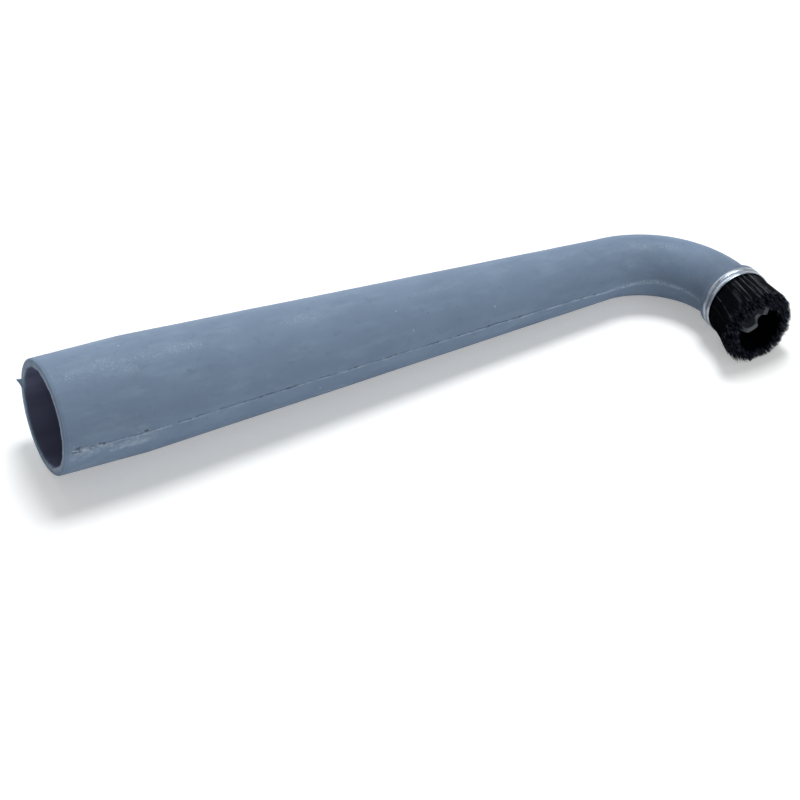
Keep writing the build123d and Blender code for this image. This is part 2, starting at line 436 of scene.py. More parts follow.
def start_piece(name):
    """Names the primitive just added and opens it for editing with all of it selected."""
    piece = bpy.context.object
    piece.name = name
    bpy.ops.object.transform_apply(location=True, rotation=True, scale=True)
    bpy.ops.object.mode_set(mode="EDIT")
    bpy.ops.mesh.select_all(action="SELECT")
    return piece


def close_piece():
    """Merges the doubles, turns all faces outwards and leaves edit mode."""
    bpy.ops.mesh.select_all(action="SELECT")
    bpy.ops.mesh.remove_doubles(threshold=MERGE_DISTANCE)
    bpy.ops.mesh.normals_make_consistent(inside=False)
    bpy.ops.object.mode_set(mode="OBJECT")


def hand_over(piece, place, node):
    """Puts the piece's place into its mesh and ties it to the frame."""
    piece.matrix_world = place
    bpy.ops.object.select_all(action="DESELECT")
    piece.select_set(True)
    bpy.context.view_layer.objects.active = piece
    bpy.ops.object.transform_apply(location=True, rotation=True, scale=True)
    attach(piece, "root")
    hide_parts(node)


def vertex_places(piece):
    """The mesh's vertices as an array."""
    places = np.empty(len(piece.data.vertices) * 3)
    piece.data.vertices.foreach_get("co", places)
    return places.reshape(-1, 3)


def put_vertices(piece, places):
    """Moves the mesh's vertices to the places in the array."""
    piece.data.vertices.foreach_set("co", places.ravel())
    piece.data.update()


def add_amount(piece, name, values):
    """Stores one number for each vertex under a name that the material reads."""
    attribute = piece.data.attributes.new(name, "FLOAT", "POINT")
    attribute.data.foreach_set("value", np.asarray(values, dtype=np.float32))


def add_places(piece, name, places):
    """Stores one place for each vertex under a name that the material reads."""
    attribute = piece.data.attributes.new(name, "FLOAT_VECTOR", "POINT")
    attribute.data.foreach_set("vector", np.asarray(places, dtype=np.float32).ravel())


def drawn_on(travel, radius, next_radius, centre):
    """Extrudes the open ring by a travel and sizes it about its new centre."""
    bpy.ops.mesh.extrude_region_move(TRANSFORM_OT_translate={"value": tuple(travel)})
    factor = next_radius / radius
    bpy.ops.transform.resize(value=(factor, factor, factor), center_override=tuple(centre))


def drawn_along(way, start, stations):
    """Extrudes the open ring through stations, each a distance from the start and a radius."""
    start = Vector(start)
    way = Vector(way)
    (here, radius), *others = stations
    for there, next_radius in others:
        drawn_on(way * (there - here), radius, next_radius, start + way * there)
        here, radius = there, next_radius


def even_stations(start, start_radius, end, end_radius, steps):
    """Stations at even distances with a straight taper."""
    shares = [step / steps for step in range(1, steps + 1)]
    return [(start + (end - start) * s, start_radius + (end_radius - start_radius) * s) for s in shares]


def rounded_rim():
    """Stations of the mouth's rim on its outer edge, a quarter round."""
    turns = [math.pi / 2 * step / RIM_STEPS for step in range(RIM_STEPS + 1)]
    return [(RIM_ROUND * (1 - math.cos(t)), CUFF_RADIUS - RIM_ROUND * (1 - math.sin(t))) for t in turns]


def rubber_skin():
    """The moulding as one closed skin: out along the outside, round the lip and back along the bore."""
    rim = rounded_rim()
    rim_radius = rim[0][1]
    bpy.ops.object.select_all(action="DESELECT")
    bpy.ops.mesh.primitive_circle_add(vertices=RING_POINTS, radius=rim_radius, rotation=(0, math.pi / 2, 0))
    piece = start_piece("rubber_moulding")
    bpy.ops.object.mode_set(mode="OBJECT")
    ring = vertex_places(piece)
    turn = np.arctan2(ring[:, 2], ring[:, 1])
    turn -= SEAM_CROWDING * np.sin(2 * turn) / 2
    crowded_ring = np.column_stack((0 * turn, np.cos(turn), np.sin(turn)))
    put_vertices(piece, crowded_ring * [1, rim_radius, rim_radius])
    bpy.ops.object.mode_set(mode="EDIT")
    straight = (1, 0, 0)
    outside = rim + even_stations(RIM_ROUND, CUFF_RADIUS, CUFF_LENGTH, CUFF_RADIUS, CUFF_STEPS)
    outside += even_stations(CUFF_LENGTH, CUFF_RADIUS, ELBOW_START, NECK_RADIUS, BARREL_STEPS)
    drawn_along(straight, (0, 0, 0), outside)
    bpy.ops.mesh.spin(steps=ELBOW_STEPS, angle=BEND_ANGLE, center=bend_centre, axis=(0, 0, 1))
    lip_root = LIP_END - 2 * SCALLOP_DEPTH
    tip = [
        (0, NECK_RADIUS),
        (0, COLLAR_RADIUS - COLLAR_BEVEL),
        (COLLAR_BEVEL, COLLAR_RADIUS),
        (COLLAR_WIDTH - CONTACT_WIDTH, COLLAR_RADIUS),
        (COLLAR_WIDTH, COLLAR_RADIUS),
        (COLLAR_WIDTH, SPIGOT_RADIUS),
        (lip_root, SPIGOT_RADIUS),
        (LIP_END, SPIGOT_RADIUS),
        (LIP_END, LIP_BORE_RADIUS),
        (lip_root, LIP_BORE_RADIUS),
        (0, NECK_BORE_RADIUS),
    ]
    drawn_along(brush_way, elbow_end, tip)
    bpy.ops.mesh.spin(steps=ELBOW_STEPS // 2, angle=-BEND_ANGLE, center=bend_centre, axis=(0, 0, 1))
    bore = [(ELBOW_START, NECK_BORE_RADIUS)]
    bore += even_stations(ELBOW_START, NECK_BORE_RADIUS, CUFF_LENGTH, SOCKET_RADIUS, BORE_STEPS)
    bore += [
        (DARK_BORE_START, SOCKET_RADIUS),
        (MOUTH_CHAMFER, SOCKET_RADIUS),
        (0, SOCKET_RADIUS + MOUTH_CHAMFER),
        (0, rim_radius),
    ]
    drawn_along(straight, (0, 0, 0), bore)
    close_piece()
    return piece


def skin_places(places):
    """Each vertex's turn and run along the moulding, its place across it, and if it is on the outside."""
    x, y, z = places.T
    ahead = x - ELBOW_START
    across = y + BEND_RADIUS
    turn = np.where(ahead > 0, np.arctan2(ahead, across), 0)
    run = np.where(ahead > 0, ELBOW_START + BEND_RADIUS * turn, x)
    out = np.where(ahead > 0, np.hypot(ahead, across) - BEND_RADIUS, y)
    taper = np.clip((run - CUFF_LENGTH) / (ELBOW_START - CUFF_LENGTH), 0, 1)
    outside = CUFF_RADIUS + (NECK_RADIUS - CUFF_RADIUS) * taper
    inside = SOCKET_RADIUS + (NECK_BORE_RADIUS - SOCKET_RADIUS) * taper
    on_outside = (np.hypot(out, z) > (outside + inside) / 2) & (turn < BEND_ANGLE + FINE_TOLERANCE)
    return turn, run, out, on_outside


def put_skin(piece, places, turn, run, out, rise):
    """Puts vertices back from their run and their place across the section."""
    bent = turn > 0
    places[:, 0] = np.where(bent, ELBOW_START + (BEND_RADIUS + out) * np.sin(turn), run)
    places[:, 1] = np.where(bent, (BEND_RADIUS + out) * np.cos(turn) - BEND_RADIUS, out)
    places[:, 2] = rise
    put_vertices(piece, places)


def seam_skin(piece):
    """The moulding's vertices, turned to the seam's course, with their run and their arc from the seam."""
    places = vertex_places(piece)
    turn, run, out, on_outside = skin_places(places)
    rise = places[:, 2].copy()
    radius = np.hypot(out, rise)
    near = out < 0
    angle = np.arctan2(rise, np.abs(out))
    course = np.where(on_outside, np.radians(np.interp(run, *np.transpose(SEAM_COURSE))), 0)
    near_wander = uneven(run, NEAR_WANDER_PITCH, SEED)
    far_wander = uneven(run, FAR_WANDER_PITCH, SEED + 1)
    arc = radius * angle - SEAM_WANDER * np.where(near, near_wander, far_wander)
    return SimpleNamespace(
        places=places,
        turn=turn,
        run=run,
        out=out * np.cos(course) + rise * np.sin(course),
        rise=rise * np.cos(course) - out * np.sin(course),
        radius=radius,
        near=near,
        on_outside=on_outside,
        arc=arc,
        below=-arc,
        in_bend=smooth_step(SEAM_BEND_START, SEAM_BEND_FULL, run),
        after_tear=smooth_step(RIM_LINE, CRUMB_START + GROOVE_FADE_IN, run),
        rim_line=bell(run - RIM_LINE, RIM_LINE_HALF),
    )


def scattered(skin, count, start, length, crowding, spread, low, seed):
    """Small bumps and pits scattered along a seam, from low to 1 in height."""
    draws = np.random.default_rng(seed)
    height = np.zeros_like(skin.run)
    for _ in range(count):
        centre = start + length * draws.uniform() ** crowding
        level = draws.normal(BUMP_LEVEL, spread)
        half_length = draws.uniform(*BUMP_HALF_LENGTHS)
        half_width = draws.uniform(*BUMP_HALF_WIDTHS)
        along = ((skin.run - centre) / half_length) ** 2
        around = ((skin.arc - level) / half_width) ** 2
        height += np.exp(-along - around) * draws.uniform(low, 1.0)
    return np.clip(height, -1, 1)


def torn_flash(skin):
    """Crumbs of flash torn off near the mouth, and small nubs along the rest of the seam."""
    crumbs = scattered(
        skin, CRUMB_COUNT, CRUMB_START, CRUMB_RUN, CRUMB_CROWDING, CRUMB_SPREAD, CRUMB_LOWEST, SEED + 5
    )
    nub_run = SEAM_RUN - CRUMB_RUN
    nubs = scattered(skin, NUB_COUNT, CRUMB_RUN, nub_run, NUB_CROWDING, NUB_SPREAD, NUB_LOWEST, SEED + 7)
    wildness = CALM_WILDNESS + sum(level * bell(skin.run - middle, half) for middle, half, level in TEARS)
    return np.where(skin.near, crumbs * wildness + NEAR_NUBS * nubs, FAR_NUBS * nubs)


def trimmed_flash(skin):
    """The flat where flash was trimmed below the seam, and the part of it along its ragged lower edge."""
    ragged_edge = swinging(skin.run, TRIM_WIDTH, TRIM_RAGGED, TRIM_PITCH, SEED + 3)
    flat = smooth_step(TRIM_TOP_START, TRIM_TOP_FULL, skin.below)
    flat = flat * (1 - smooth_step(ragged_edge - TRIM_EDGE_FADE, ragged_edge, skin.below))
    fade_in = smooth_step(TRIM_START, TRIM_START + TRIM_FADE_IN, skin.run)
    fade_out = 1 - smooth_step(TRIM_END - TRIM_FADE_OUT, TRIM_END, skin.run)
    flat *= fade_in * fade_out * skin.near
    return flat, flat * bell(skin.below - ragged_edge + TRIM_EDGE_INSET, TRIM_EDGE_HALF)


def seam_relief(skin, torn, trim):
    """How far the rubber stands proud along the seam, and below 0 how far it is cut in."""
    strength = swinging(skin.run, *SEAM_STRENGTH, SEED + 2)
    groove = bell(skin.arc, GROOVE_HALF) * strength
    groove = groove * (1 - GROOVE_LOST_IN_BEND * skin.in_bend) * skin.after_tear
    step = smooth_step(STEP_START, STEP_FULL, skin.below) * np.exp(-skin.below / STEP_FADE) * strength
    relief = STEP_HEIGHT * step - GROOVE_DEPTH * groove - TRIM_DEPTH * trim + CRUMB_HEIGHT * torn
    relief *= smooth_step(0, RIM_ROUND * 2, skin.run) * (np.abs(skin.arc) < SEAM_REACH)
    return np.where(skin.on_outside, relief - RIM_LINE_DEPTH * skin.rim_line, 0)


def rim_thorn(skin):
    """The thorn on the far side of the rim, 1 at its point."""
    thorn = np.clip(1 - np.abs(skin.arc) / THORN_BASE, 0, 1) ** THORN_SHARPNESS
    thorn *= (1 - smooth_step(THORN_FULL, THORN_END, skin.run)) * (skin.on_outside & ~skin.near)
    return thorn


def bloom_patches(skin):
    """Where pale bloom lies on the upper side."""
    amount = np.zeros_like(skin.run)
    angle = np.arctan2(skin.rise, -skin.out)
    for run, degrees, half_length, half_width, strength in BLOOM_PATCHES:
        along = (skin.run - run) / half_length
        around = skin.radius * (angle - math.radians(degrees)) / half_width
        amount = np.maximum(amount, strength * np.exp(-(along**2) - around**2))
    return amount


def store_outside(piece, skin, name, values):
    """Stores an amount from 0 to 1 on the outside alone."""
    add_amount(piece, name, np.clip(np.where(skin.on_outside, values, 0), 0, 1))


def store_seam(piece, skin, torn, trim, trim_edge):
    """Stores where the seam is trimmed and torn, its painted highlight on the step below, and its painted
    shade in the groove.
    """
    # Painted highlight where the proud lip below the seam catches the light
    bend_step_highlight = skin.in_bend * bell(skin.below - BEND_STEP_HIGHLIGHT_BELOW, BEND_STEP_HIGHLIGHT_HALF)
    bend_step_highlight = bend_step_highlight * swinging(skin.run, *BEND_STEP_HIGHLIGHT_LEVEL, SEED + 8)
    step_highlight = bell(skin.below - STEP_HIGHLIGHT_BELOW, STEP_HIGHLIGHT_HALF) * skin.after_tear
    step_highlight = step_highlight * swinging(skin.run, *STEP_HIGHLIGHT_LEVEL, SEED + 4)
    step_highlight = step_highlight * (STEP_HIGHLIGHT_LEAST + (1 - STEP_HIGHLIGHT_LEAST) * smooth_step(STEP_HIGHLIGHT_GROWS, STEP_HIGHLIGHT_FULL, skin.run))
    # Painted shade in the seam's groove
    groove_shade = bell(skin.arc, GROOVE_SHADE_HALF) * swinging(skin.run, *GROOVE_SHADE_LEVEL, SEED + 6)
    groove_shade = groove_shade * (1 - skin.in_bend) * skin.after_tear
    groove_shade *= GROOVE_SHADE_LEAST + (1 - GROOVE_SHADE_LEAST) * smooth_step(GROOVE_SHADE_GROWS, GROOVE_SHADE_FULL, skin.run)
    store_outside(piece, skin, "pale", TRIM_PALE * trim + TRIM_EDGE_PALE * trim_edge)
    store_outside(piece, skin, "step_highlight", np.maximum(step_highlight, bend_step_highlight))
    store_outside(piece, skin, "dark", groove_shade)
    store_outside(piece, skin, "crumbs", torn)


def store_skin(piece, skin, torn):
    """Stores where the moulding is bloomed, cut and worn, and where shade is painted: at the rim line, in
    pits of torn flash, towards the collar and in the bore.
    """
    past_bend = skin.turn > BEND_ANGLE + FINE_TOLERANCE
    in_bore = ~skin.on_outside & (skin.turn < BEND_ANGLE + FINE_TOLERANCE)
    at_cut = in_bore & (skin.run < DARK_BORE_START - EDGE_MARGIN)
    bevel_edge = COLLAR_RADIUS - COLLAR_BEVEL - EDGE_MARGIN
    on_collar = past_bend & (skin.radius > bevel_edge)
    past_elbow = (skin.places - np.array(elbow_end)) @ np.array(brush_way)
    at_ring = on_collar & (past_elbow > COLLAR_WIDTH - EDGE_MARGIN)
    # Painted shade on the collar, darkest where it meets the ring
    collar_shade = np.where(on_collar, np.where(at_ring, CONTACT_SHADE, COLLAR_SHADE), 0)
    at_collar = bell(skin.run - ELBOW_END_RUN, ELBOW_SHADE_HALF)
    at_collar = at_collar + ELBOW_SHADE_SHARE * smooth_step(ELBOW_SHADE_START, ELBOW_END_RUN, skin.run)
    # Painted shade in the rim line, towards the collar and in the pits of torn flash
    outside_shade = RIM_LINE_SHADE * skin.rim_line + ELBOW_SHADE * at_collar - torn
    add_amount(piece, "bloom", np.where(skin.on_outside, bloom_patches(skin), 0))
    add_amount(piece, "painted_shade", np.clip(np.where(skin.on_outside, outside_shade, collar_shade), 0, 1))
    add_amount(piece, "cut", np.where(at_cut, np.where(skin.near, 1, FAR_CUT_SPECKS), 0))
    # Worn, greyer spigot and lip
    add_amount(piece, "wear_and_glint", np.where(past_bend & (skin.radius < bevel_edge), 1, 0))
    # Painted shade inside the bore, growing from the mouth inwards
    add_amount(piece, "bore", np.where(in_bore, smooth_step(0, DARK_BORE_START, skin.run), 0))
    add_places(piece, "unbent", np.column_stack((skin.run, skin.out, skin.rise)) * MM)


def parting_line(piece):
    """Cuts the seam into the outside, and stores where the rubber is torn and trimmed and where light and
    shade are painted on it.
    """
    skin = seam_skin(piece)
    torn = torn_flash(skin)
    trim, trim_edge = trimmed_flash(skin)
    thorn = rim_thorn(skin)
    factor = 1 + seam_relief(skin, torn, trim) / np.maximum(skin.radius, 1)
    run = np.where(thorn > 0, skin.run - THORN_REACH * thorn, skin.run)
    out = skin.out * factor + THORN_REACH * thorn
    rise = skin.rise * factor + THORN_RISE * thorn
    put_skin(piece, skin.places, skin.turn, run, out, rise)
    store_seam(piece, skin, torn, trim, trim_edge)
    store_skin(piece, skin, torn)


def cut_mouth(piece):
    """Roughens the mouth's inner edge, where it was cut."""
    places = vertex_places(piece)
    radius = np.hypot(places[:, 1], places[:, 2])
    turn = np.arctan2(places[:, 2], places[:, 1])
    at_mouth = places[:, 0] < DARK_BORE_START - EDGE_MARGIN
    at_edge = at_mouth & (radius < SOCKET_RADIUS + MOUTH_CHAMFER + TOLERANCE)
    nick = NICK_DEPTH * uneven(turn * SOCKET_RADIUS, NICK_PITCH, SEED + 9)
    places[at_edge, 1:] *= (1 + nick / SOCKET_RADIUS)[at_edge, None]
    put_vertices(piece, places)


def scalloped_lip(piece):
    """Cuts round notches into the lip among the bristles."""
    places = vertex_places(piece)
    to_brush = np.array(AT_BRUSH.inverted())
    local = places @ to_brush[:3, :3].T + to_brush[:3, 3]
    turn = np.arctan2(local[:, 1], local[:, 0]) - SCALLOP_TURN
    wave = 0.5 + 0.5 * np.cos(turn * SCALLOP_COUNT)
    notch = smooth_step(1 - SCALLOP_SHARE, 1, wave) * SCALLOP_DEPTH
    at_lip = np.abs(local[:, 2] - LIP_END) < TOLERANCE
    places -= np.outer(np.where(at_lip, notch, 0), np.array(brush_way))
    put_vertices(piece, places)


def rubber_moulding():
    """The blue-grey moulding with its parting line, trimmed flash and scalloped lip."""
    piece = rubber_skin()
    scalloped_lip(piece)
    cut_mouth(piece)
    parting_line(piece)
    clouds = bpy.data.textures.new("skin_wave", "CLOUDS")
    clouds.noise_scale = SKIN_WAVE_SIZE
    wave = piece.modifiers.new("skin_wave", "DISPLACE")
    wave.texture = clouds
    wave.texture_coords = "LOCAL"
    wave.strength = SKIN_WAVE
    wave.mid_level = SKIN_WAVE_MIDDLE
    bpy.ops.object.modifier_apply(modifier=wave.name)
    bpy.ops.object.shade_smooth_by_angle(angle=SKIN_SMOOTH_ANGLE)
    piece.data.materials.append(rubber_finish())
    hand_over(piece, LAID_DOWN, "rubber_tube")


def new_finish(name):
    """A new material, its node tree and its shader."""
    material = bpy.data.materials.new(name)
    material.use_nodes = True
    tree = material.node_tree
    return material, tree, tree.nodes["Principled BSDF"]


def ranged(tree, value, low, high, at_low, at_high):
    """A value carried from one range to another and held at its ends."""
    carried = tree.nodes.new("ShaderNodeMapRange")
    carried.inputs["From Min"].default_value = low
    carried.inputs["From Max"].default_value = high
    carried.inputs["To Min"].default_value = at_low
    carried.inputs["To Max"].default_value = at_high
    tree.links.new(value, carried.inputs["Value"])
    return carried.outputs["Result"]


def noise_amount(tree, places, scale, detail, low, high):
    """A noise pattern, spread so that low gives 0 and high gives 1."""
    noise = tree.nodes.new("ShaderNodeTexNoise")
    noise.inputs["Scale"].default_value = scale
    noise.inputs["Detail"].default_value = detail
    tree.links.new(places, noise.inputs["Vector"])
    return ranged(tree, noise.outputs["Fac"], low, high, 0, 1)


def speck_amount(tree, places, scale, radius):
    """Small round specks at random places, as many as the scale is fine."""
    points = tree.nodes.new("ShaderNodeTexVoronoi")
    points.inputs["Scale"].default_value = scale
    tree.links.new(places, points.inputs["Vector"])
    return ranged(tree, points.outputs["Distance"], radius * scale, radius * scale * SPECK_CORE, 0, 1)


def stored(tree, name, output="Fac"):
    """What is stored with each vertex under a name."""
    attribute = tree.nodes.new("ShaderNodeAttribute")
    attribute.attribute_name = name
    return attribute.outputs[output]


def stretched_places(tree, places, stretch):
    """Places scaled along each axis, which stretches a pattern the other way."""
    mapping = tree.nodes.new("ShaderNodeMapping")
    mapping.inputs["Scale"].default_value = stretch
    tree.links.new(places, mapping.inputs["Vector"])
    return mapping.outputs["Vector"]


def both_amounts(tree, first, second):
    """The product of two amounts."""
    product = tree.nodes.new("ShaderNodeMath")
    product.operation = "MULTIPLY"
    tree.links.new(first, product.inputs[0])
    tree.links.new(second, product.inputs[1])
    return product.outputs[0]


def layered_colour(tree, base, layers):
    """A base colour blended towards the tint of each layer by the layer's amount."""
    plain = tree.nodes.new("ShaderNodeRGB")
    plain.outputs[0].default_value = (*base, 1)
    colour = plain.outputs[0]
    for tint, amount in layers:
        blend = tree.nodes.new("ShaderNodeMix")
        blend.data_type = "RGBA"
        tree.links.new(amount, blend.inputs["Factor"])
        tree.links.new(colour, blend.inputs["A"])
        blend.inputs["B"].default_value = (*tint, 1)
        colour = blend.outputs["Result"]
    return colour


def rubber_finish():
    """Matte blue-grey rubber, streaked along the moulding, bloomed, pale where cut, with painted highlight
    and shade along the seam, painted shade at the rim line and the collar, and painted shade in the bore.
    """
    material, tree, shader = new_finish("blue_grey_rubber")
    shader.inputs["Specular IOR Level"].default_value = RUBBER_GLOSS
    unbent = stored(tree, "unbent", "Vector")
    streaked = stretched_places(tree, unbent, STREAK_STRETCH)
    flowing = stretched_places(tree, unbent, FLOW_STRETCH)

    def pattern(places, numbers):
        return noise_amount(tree, places, *numbers)

    def broken(name, places, numbers):
        return both_amounts(tree, stored(tree, name), pattern(places, numbers))

    trim_grain = pattern(flowing, TRIM_GRAIN)
    layers = (
        (CLOUDED_RUBBER, pattern(unbent, CLOUDS)),
        (PALE_RUBBER, pattern(streaked, PALE_STREAKS)),
        (DARK_RUBBER, pattern(flowing, DARK_STREAKS)),
        (HAZED_RUBBER, broken("bloom", flowing, BLOOM_HAZE)),
        (BLOOMED_RUBBER, broken("bloom", unbent, BLOOM_FLECKS)),
        (PALE_SPECK, speck_amount(tree, unbent, *PALE_SPECKS)),
        (DARK_SPECK, speck_amount(tree, unbent, *DARK_SPECKS)),
        (TRIMMED_RUBBER, both_amounts(tree, broken("pale", flowing, TRIM_SMEARS), trim_grain)),
        # Painted highlight on the step below the seam, then painted shade in the seam's groove
        (STEP_HIGHLIGHT_RUBBER, broken("step_highlight", flowing, STEP_HIGHLIGHT_BREAKS)),
        (SEAM_GROOVE_SHADE, broken("dark", unbent, GROOVE_SHADE_BREAKS)),
        # Painted shade
        (SHADED_RUBBER, stored(tree, "painted_shade")),
        (TORN_RUBBER, stored(tree, "crumbs")),
        (CUT_SPECK, broken("cut", unbent, CUT_SPECKS)),
        (WORN_RUBBER, stored(tree, "wear_and_glint")),
        # Painted shade in the bore
        (SHADED_BORE_RUBBER, stored(tree, "bore")),
    )
    tree.links.new(layered_colour(tree, RUBBER, layers), shader.inputs["Base Color"])
    sheen = pattern(flowing, SHEEN_PATCHES)
    roughness = ranged(tree, sheen, 0, 1, RUBBER_SMOOTHEST, RUBBER_ROUGHEST)
    tree.links.new(roughness, shader.inputs["Roughness"])
    bump = tree.nodes.new("ShaderNodeBump")
    bump.inputs["Strength"].default_value = GRAIN_STRENGTH
    bump.inputs["Distance"].default_value = GRAIN_DEPTH
    tree.links.new(pattern(unbent, SKIN_GRAIN), bump.inputs["Height"])
    tree.links.new(bump.outputs["Normal"], shader.inputs["Normal"])
    return material


def select_edges(piece, is_wanted):
    """Selects the edges whose two ends pass a test, in edit mode."""
    bpy.ops.mesh.select_mode(type="EDGE")
    bpy.ops.mesh.select_all(action="DESELECT")
    bpy.ops.object.mode_set(mode="OBJECT")
    points = piece.data.vertices
    for edge in piece.data.edges:
        first, second = (points[index].co for index in edge.vertices)
        edge.select = is_wanted(first, second)
    bpy.ops.object.mode_set(mode="EDIT")


def cut_section(place, normal):
    """Cuts all faces along a plane."""
    bpy.ops.mesh.select_all(action="SELECT")
    bpy.ops.mesh.bisect(plane_co=place, plane_no=normal)


def folded_strip():
    """The U section of the zinc strip, with cuts along the crimps, bent to an open ring."""
    bpy.ops.object.select_all(action="DESELECT")
    middle = (CHANNEL_RADIUS + CHANNEL_HOLE_RADIUS) / 2
    web_middle = (middle, 0, CHANNEL_SHEET / 2)
    bpy.ops.mesh.primitive_plane_add(size=1, location=web_middle, rotation=(math.pi / 2, 0, 0))
    bpy.context.object.scale = (CHANNEL_RADIUS - CHANNEL_HOLE_RADIUS, CHANNEL_SHEET, 1)
    piece = start_piece("brush_ring")
    outer_wall = CHANNEL_RADIUS - CHANNEL_SHEET
    inner_wall = CHANNEL_HOLE_RADIUS + CHANNEL_SHEET
    cut_section((outer_wall, 0, 0), (1, 0, 0))
    cut_section((inner_wall, 0, 0), (1, 0, 0))

    def is_wall_root(first, second):
        at_top = min(first.z, second.z) > CHANNEL_SHEET - TOLERANCE
        in_outer_wall = min(first.x, second.x) > outer_wall - TOLERANCE
        in_inner_wall = max(first.x, second.x) < inner_wall + TOLERANCE
        return at_top and (in_outer_wall or in_inner_wall)

    select_edges(piece, is_wall_root)
    wall_height = CHANNEL_WIDTH - CHANNEL_SHEET
    bpy.ops.mesh.extrude_edges_move(TRANSFORM_OT_translate={"value": (0, 0, wall_height)})
    for reach in (CRIMP_LENGTH / 2, CRIMP_LENGTH / 2 - CRIMP_DEPTH):
        cut_section((0, 0, CHANNEL_WIDTH / 2 - reach), (0, 0, 1))
        cut_section((0, 0, CHANNEL_WIDTH / 2 + reach), (0, 0, 1))
    bpy.ops.mesh.select_all(action="SELECT")
    steps = CRIMP_COUNT * CRIMP_FINENESS
    bent_round = 2 * math.pi - BUTT_GAP / middle
    bpy.ops.mesh.spin(steps=steps, angle=bent_round, center=(0, 0, 0), axis=(0, 0, 1))
    close_piece()
    return piece


def press_crimps(piece):
    """Presses a row of crimps into the ring's outside."""
    places = vertex_places(piece)
    turn = np.arctan2(places[:, 1], places[:, 0]) % (2 * math.pi)
    pitch = 2 * math.pi / CRIMP_COUNT
    radius = np.hypot(places[:, 0], places[:, 1])
    off_crimp = np.abs((turn + pitch / 2) % pitch - pitch / 2)
    off_middle = np.abs(places[:, 2] - CHANNEL_WIDTH / 2)
    pressed = (radius > CHANNEL_RADIUS - TOLERANCE) & (off_middle < CRIMP_LENGTH / 2 - TOLERANCE)
    depth = np.where(pressed, CRIMP_DEPTH * (1 - smooth_step(0, pitch * CRIMP_SPREAD, off_crimp)), 0)
    places[:, :2] *= (1 - depth / radius)[:, None]
    put_vertices(piece, places)


def brush_ring():
    """Zinc strip folded to a U, bent to a ring with a butt joint and crimped along its middle."""
    piece = folded_strip()
    press_crimps(piece)
    edge_round = piece.modifiers.new("edge_round", "BEVEL")
    edge_round.width = RING_EDGE_ROUND
    edge_round.segments = RING_EDGE_STEPS
    edge_round.limit_method = "ANGLE"
    edge_round.angle_limit = RING_EDGE_ANGLE
    bpy.ops.object.modifier_apply(modifier=edge_round.name)
    bpy.ops.object.shade_smooth_by_angle(angle=RING_SMOOTH_ANGLE)
    places = vertex_places(piece)
    radius = np.hypot(places[:, 0], places[:, 1])
    beside_crimps = np.abs(places[:, 2] - CHANNEL_WIDTH / 2) > CRIMP_LENGTH / 2
    inside = radius < CHANNEL_RADIUS - CHANNEL_SHEET / 2
    pressed = np.clip((CHANNEL_RADIUS - radius) / CRIMP_DEPTH, 0, 1)
    # How deep each crimp is pressed, which the finish darkens as painted shade
    add_amount(piece, "pressed", np.where(beside_crimps | inside, 0, pressed))
    piece.data.materials.append(zinc_finish())
    at_ring = AT_BRUSH @ Matrix.Translation((0, 0, RING_BACK)) @ Matrix.Rotation(BUTT_TURN, 4, "Z")
    hand_over(piece, LAID_DOWN @ at_ring, "brush_channel")


def zinc_finish():
    """Zinc-coated steel, unevenly dulled, with painted shade in its crimps."""
    material, tree, shader = new_finish("dulled_zinc")
    shader.inputs["Metallic"].default_value = 1
    shader.inputs["Roughness"].default_value = ZINC_ROUGHNESS
    places = tree.nodes.new("ShaderNodeTexCoord").outputs["Object"]
    layers = (
        (DULL_ZINC, noise_amount(tree, places, *ZINC_SPANGLE)),
        # Painted shade in the crimps
        (CRIMP_SHADE, stored(tree, "pressed")),
    )
    tree.links.new(layered_colour(tree, ZINC, layers), shader.inputs["Base Color"])
    return material


def one_filament():
    """One filament of unit length with a few sides."""
    bpy.ops.object.select_all(action="DESELECT")
    bpy.ops.mesh.primitive_cone_add(
        vertices=FILAMENT_SIDES,
        radius1=FILAMENT_RADIUS,
        radius2=FILAMENT_RADIUS * FILAMENT_TAPER,
        depth=1,
        end_fill_type="NOTHING",
        location=(0, 0, 0.5),
    )
    piece = start_piece("filament")
    for height in FILAMENT_CUTS:
        cut_section((0, 0, height), (0, 0, 1))
    select_edges(piece, lambda first, second: min(first.z, second.z) > 1 - FINE_TOLERANCE)
    bpy.ops.mesh.edge_face_add()
    select_edges(piece, lambda first, second: max(first.z, second.z) < FINE_TOLERANCE)
    bpy.ops.mesh.edge_face_add()
    close_piece()
    return piece


